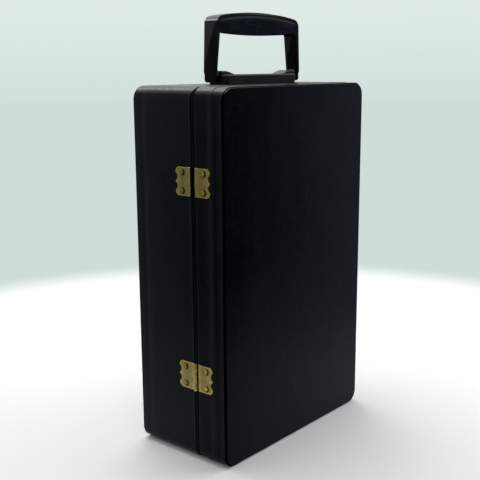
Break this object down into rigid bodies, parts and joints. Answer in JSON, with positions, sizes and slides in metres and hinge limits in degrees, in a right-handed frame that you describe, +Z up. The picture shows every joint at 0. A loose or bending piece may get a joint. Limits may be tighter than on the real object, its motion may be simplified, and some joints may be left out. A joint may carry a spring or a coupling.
{
  "type": "portable bar case",
  "caption": "Upright hinged travel bar case with a covered wooden shell, brass hinges and draw catches, bottle bays, a tool board and a folding carrying handle.",
  "frame": {"origin": "on the floor under the middle of the closed case, at the resting face", "axes": "+X towards the catches, -Y towards the shallow half's wide face, +Z up"},
  "size_m": [0.2527, 0.122, 0.4535],
  "materials": {
    "covering": "satin black leathercloth",
    "plywood": "bare plywood",
    "lining": "dark red felt paper",
    "lining_board": "board covered in dark red felt",
    "strap": "satin black leathercloth strap",
    "elastic": "black woven elastic",
    "brass": "aged stamped brass",
    "steel": "plain steel",
    "handle_plastic": "moulded black plastic"
  },
  "bodies": {
    "body": {"body_frame": "plywood", "body_board": "plywood", "body_face_covering": "covering", "body_edge_band": "covering", "body_side_covering": "covering", "body_lining": "lining", "locating_lip": "lining_board", "left_divider": "lining_board", "right_divider": "lining_board", "centre_shelf": "lining_board", "cup_fence": "lining_board", "shelf_fence": "lining_board", "left_bottle_strap": "strap", "right_bottle_strap": "strap", "strap_studs": "brass", "lower_hinge_body_leaf": "brass", "upper_hinge_body_leaf": "brass", "hinge_pins": "brass", "hinge_body_screws": "brass", "lower_catch_plate": "brass", "upper_catch_plate": "brass", "catch_pins": "brass", "catch_plate_screws": "brass", "handle_base": "handle_plastic", "handle_screws": "steel", "handle_pins": "steel"},
    "lid": {"lid_frame": "plywood", "lid_board": "plywood", "lid_face_covering": "covering", "lid_edge_band": "covering", "lid_side_covering": "covering", "lid_lining": "lining", "tool_board": "lining_board", "lower_tool_loops": "elastic", "upper_tool_loops": "elastic", "loop_rivets": "brass", "lower_hinge_lid_leaf": "brass", "upper_hinge_lid_leaf": "brass", "hinge_lid_screws": "brass", "lower_catch_keeper": "brass", "upper_catch_keeper": "brass", "catch_keeper_screws": "brass"},
    "handle": {"handle_grip": "handle_plastic"},
    "lower_lever": {"lower_catch_lever": "brass"},
    "lower_loop": {"lower_catch_loop": "brass"},
    "upper_lever": {"upper_catch_lever": "brass"},
    "upper_loop": {"upper_catch_loop": "brass"}
  },
  "joints": [
    {"name": "lid_hinge", "type": "hinge", "parent": "body", "child": "lid", "pos_m": [-0.1207, -0.022, 0.1905], "axis": [0, 0, -1], "range_deg": [0, 170]},
    {"name": "handle_pivot", "type": "hinge", "parent": "body", "child": "handle", "pos_m": [0, 0, 0.3896], "axis": [1, 0, 0], "range_deg": [-85, 85]},
    {"name": "lower_lever_pivot", "type": "hinge", "parent": "body", "child": "lower_lever", "pos_m": [0.1243, -0.013, 0.0911], "axis": [0, 0, -1], "range_deg": [0, 150]},
    {"name": "lower_loop_pivot", "type": "hinge", "parent": "lower_lever", "child": "lower_loop", "pos_m": [0.122, -0.007, 0.0911], "axis": [0, 0, -1], "range_deg": [-150, 0]},
    {"name": "upper_lever_pivot", "type": "hinge", "parent": "body", "child": "upper_lever", "pos_m": [0.1243, -0.013, 0.2899], "axis": [0, 0, -1], "range_deg": [0, 150]},
    {"name": "upper_loop_pivot", "type": "hinge", "parent": "upper_lever", "child": "upper_loop", "pos_m": [0.122, -0.007, 0.2899], "axis": [0, 0, -1], "range_deg": [-150, 0]}
  ],
  "couplings": [
    {"joint": "lower_loop_pivot", "follows": "lower_lever_pivot", "ratio": -1},
    {"joint": "upper_loop_pivot", "follows": "upper_lever_pivot", "ratio": -1}
  ]
}
